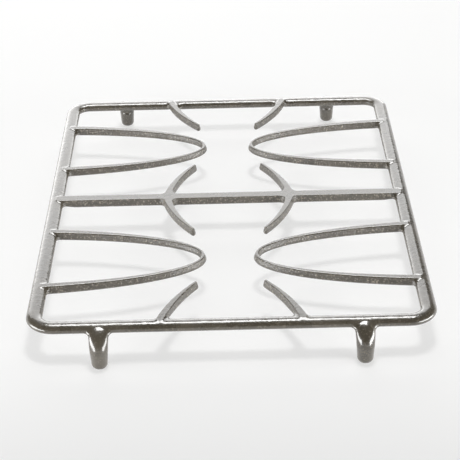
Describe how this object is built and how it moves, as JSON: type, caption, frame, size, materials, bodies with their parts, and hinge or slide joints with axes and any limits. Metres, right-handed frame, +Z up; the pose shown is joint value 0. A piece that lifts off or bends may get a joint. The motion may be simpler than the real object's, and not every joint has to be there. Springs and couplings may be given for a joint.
{
  "type": "hob pan support",
  "caption": "Enamelled cast pan support for a gas hob: a rounded frame with a middle bar, half-ellipse loops and curved fingers round each burner, on short round legs.",
  "frame": {"origin": "centre of the footprint, on the plane that the feet stand on", "axes": "+X across the hob, +Y from the front of the hob to the back, +Z up"},
  "size_m": [0.351, 0.4826, 0.0349],
  "materials": {
    "enamel": "gloss"
  },
  "bodies": {
    "root": {"pan_support": "enamel"}
  },
  "joints": []
}
